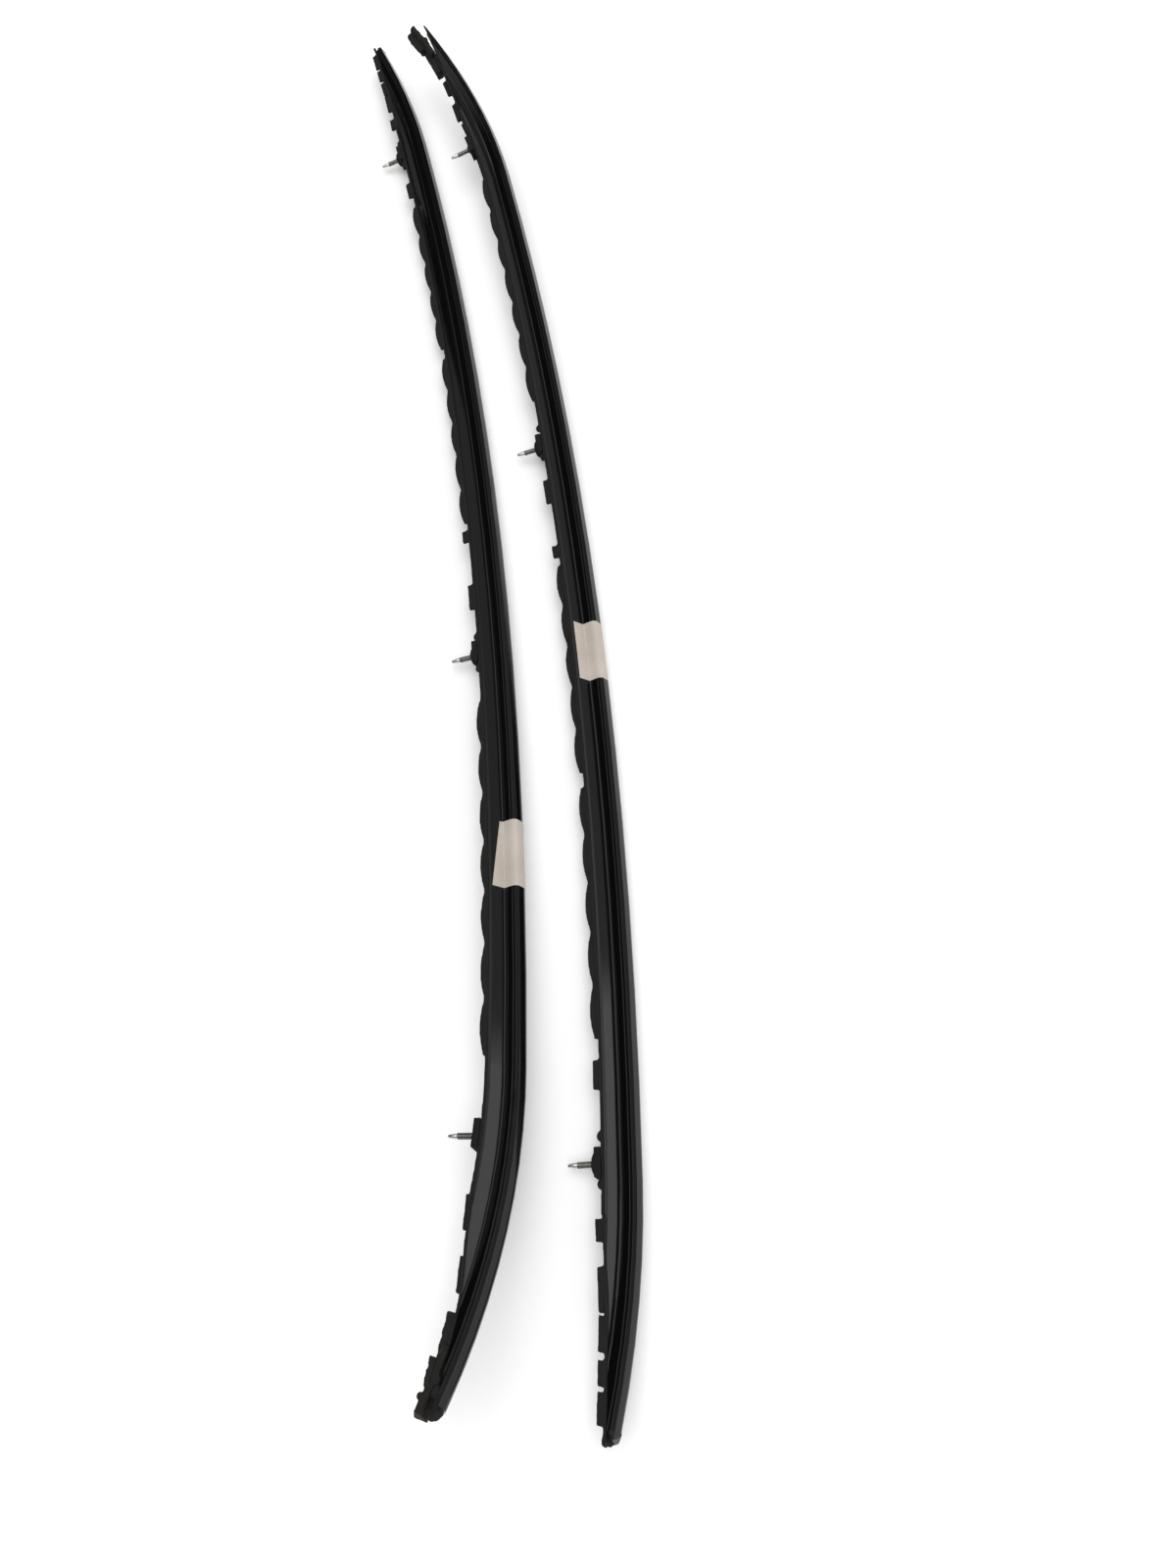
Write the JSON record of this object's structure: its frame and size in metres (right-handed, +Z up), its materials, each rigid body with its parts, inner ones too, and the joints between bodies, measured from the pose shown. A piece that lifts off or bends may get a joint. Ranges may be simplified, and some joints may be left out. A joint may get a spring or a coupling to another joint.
{
  "type": "roof side rail pair",
  "caption": "Mirror-image pair of bent flush roof side rails for a car, gloss-black hollow extrusions with rubber base seals and threaded mounting studs, lying on the floor",
  "frame": {"origin": "centre of the pair's bounding box, on the floor", "axes": "Z up from the floor, Y along the rails, X across the pair"},
  "size_m": [0.3472, 1.7552, 0.0881],
  "materials": {
    "rail_paint": "gloss black",
    "seal_rubber": "matte moulded",
    "tongue_rubber": "matte textured",
    "plug_plastic": "satin",
    "pad_foam": "matte closed-cell foam",
    "stud_steel": "zinc plated"
  },
  "bodies": {
    "root": {"left_rail": "rail_paint", "left_base_seal": "seal_rubber", "left_front_tongue": "tongue_rubber", "left_rear_plug": "plug_plastic", "left_front_stud": "stud_steel", "left_front_stud_pad": "pad_foam", "left_middle_stud": "stud_steel", "left_middle_stud_pad": "pad_foam", "left_rear_stud": "stud_steel", "left_rear_stud_pad": "pad_foam", "right_rail": "rail_paint", "right_base_seal": "seal_rubber", "right_front_tongue": "tongue_rubber", "right_rear_plug": "plug_plastic", "right_front_stud": "stud_steel", "right_front_stud_pad": "pad_foam", "right_middle_stud": "stud_steel", "right_middle_stud_pad": "pad_foam", "right_rear_stud": "stud_steel", "right_rear_stud_pad": "pad_foam"}
  },
  "joints": []
}
